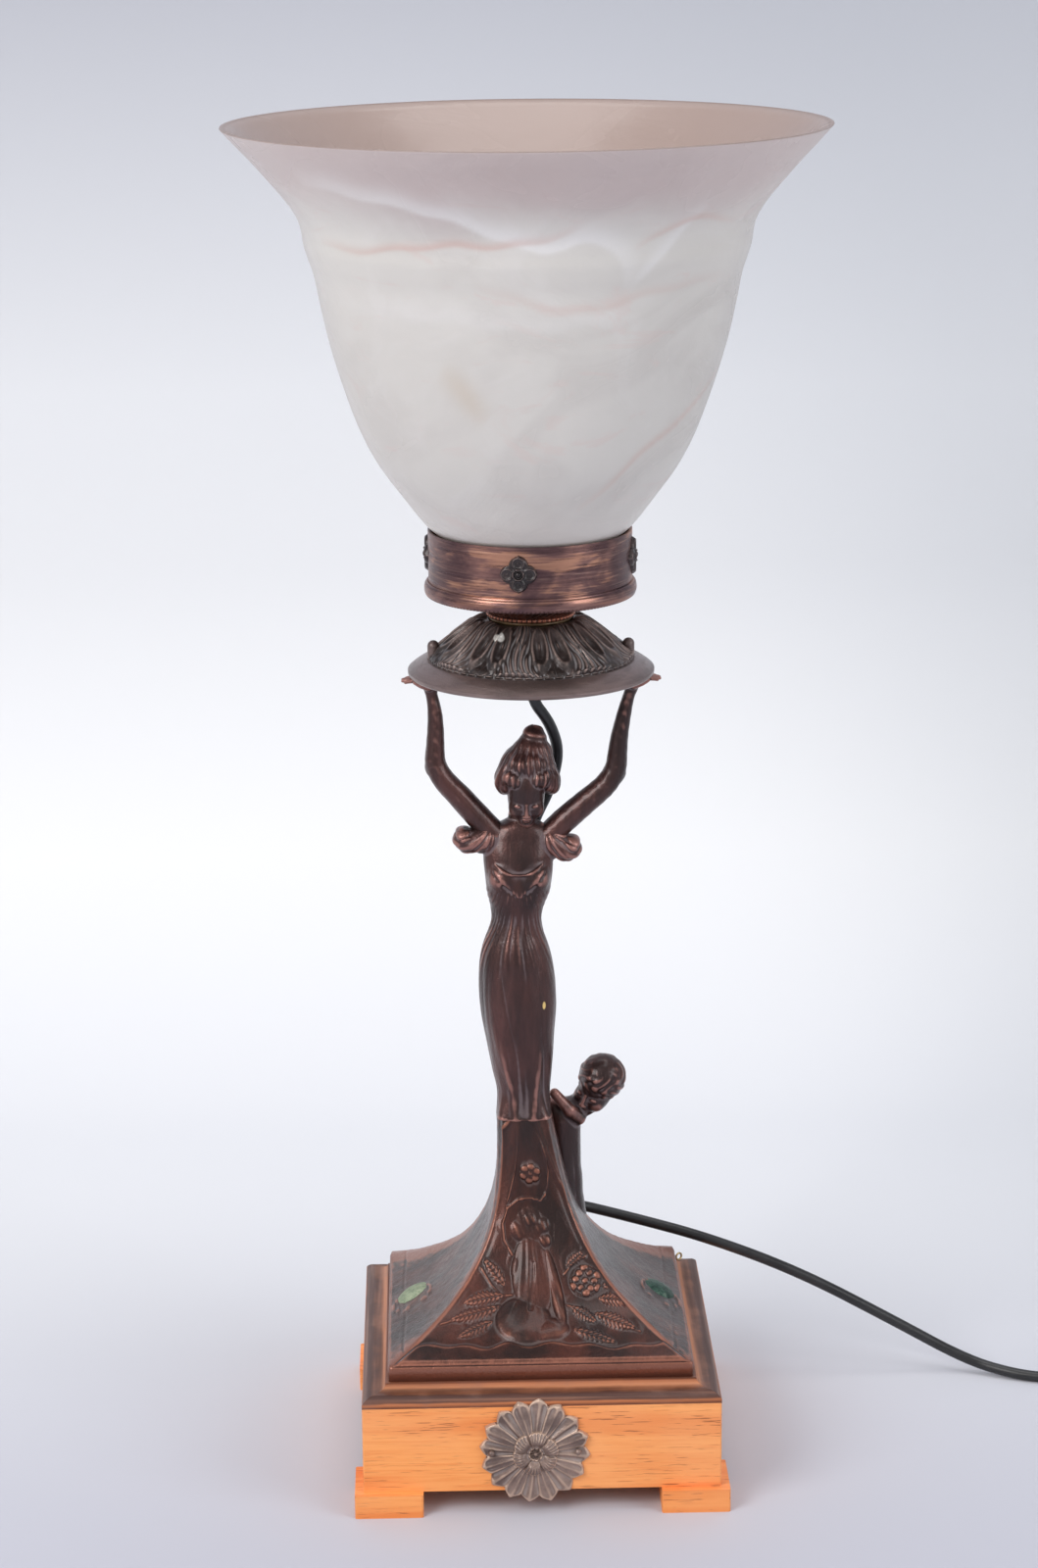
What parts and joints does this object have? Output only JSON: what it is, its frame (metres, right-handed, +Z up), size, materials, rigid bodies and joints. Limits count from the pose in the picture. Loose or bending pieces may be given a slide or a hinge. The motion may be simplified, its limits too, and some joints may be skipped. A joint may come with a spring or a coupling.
{
  "type": "figural table lamp",
  "caption": "Antique table lamp: a bronze draped figure on a flared relief base holds up a disc with a copper gallery and a bell-shaped art glass shade, on a wooden plinth.",
  "frame": {"origin": "on the lamp axis, in the plane under the feet", "axes": "+Z up, front of the figure along -Y, +X to the right as seen from the front"},
  "size_m": [0.6244, 0.3121, 0.7084],
  "materials": {
    "wood": "satin",
    "board": "satin",
    "steel": "satin",
    "bronze": "satin",
    "antique_brass": "satin",
    "grey_bronze": "matte",
    "copper": "satin",
    "verdigris": "matte",
    "green_bronze": "polished",
    "holder_brass": "polished",
    "porcelain": "gloss",
    "fibre": "matte",
    "shade_glass": "satin",
    "bulb_glass": "satin",
    "cord": "matte",
    "black_plastic": "gloss",
    "plated_pins": "polished"
  },
  "bodies": {
    "stand": {"centre_contact": "holder_brass", "child_casting": "bronze", "cord_coil": "cord", "cord_free": "cord", "cord_inner": "cord", "cord_lead": "cord", "cord_relief": "cord", "cord_tail": "cord", "cup_collar": "antique_brass", "disc": "bronze", "dress_casting": "bronze", "fluted_cup": "copper", "foot_front_left": "wood", "foot_front_right": "wood", "foot_rear_left": "wood", "foot_rear_right": "wood", "foot_screws": "steel", "gallery_band": "copper", "gallery_nut": "steel", "gallery_rim": "copper", "hand_pins": "bronze", "head_casting": "bronze", "lampholder_cap": "antique_brass", "lampholder_insert": "porcelain", "lampholder_shell": "holder_brass", "leaf_dome": "grey_bronze", "left_arm": "bronze", "left_stud": "verdigris", "lower_nut": "steel", "lower_washer": "steel", "moulded_board": "board", "ornament_front": "antique_brass", "ornament_left": "antique_brass", "ornament_rear": "antique_brass", "ornament_right": "antique_brass", "plinth_screws": "steel", "plinth_washers": "steel", "plug_body": "black_plastic", "plug_pins": "plated_pins", "right_arm": "bronze", "right_stud": "green_bronze", "rosette": "antique_brass", "rosette_centre": "antique_brass", "rosette_nails": "antique_brass", "seat_washer": "fibre", "side_contact": "holder_brass", "skirt_casting": "bronze", "switch_lower": "black_plastic", "switch_screws": "steel", "switch_upper": "black_plastic", "terminal_screws": "steel", "threaded_tube": "antique_brass", "wood_block": "wood"},
    "shade": {"glass_shade": "shade_glass"},
    "ring": {"shade_ring": "holder_brass"},
    "bulb": {"bulb_tip": "holder_brass", "bulb_cap": "holder_brass", "bulb_envelope": "bulb_glass"},
    "rocker": {"switch_rocker": "black_plastic"}
  },
  "joints": [
    {"name": "shade_lift", "type": "slide", "parent": "stand", "child": "shade", "axis": [0, 0, 1], "range_m": [0, 0.13]},
    {"name": "shade_ring_turn", "type": "hinge", "parent": "shade", "child": "ring", "pos_m": [0, 0, 0.5036], "axis": [0, 0, 1], "continuous": true},
    {"name": "bulb_out", "type": "slide", "parent": "stand", "child": "bulb", "axis": [0, 0, 1], "range_m": [0, 0.03]},
    {"name": "rocker_tilt", "type": "hinge", "parent": "stand", "child": "rocker", "pos_m": [0.353, 0.052, 0.01224], "axis": [0, 1, 0], "range_deg": [-6, 6]}
  ]
}
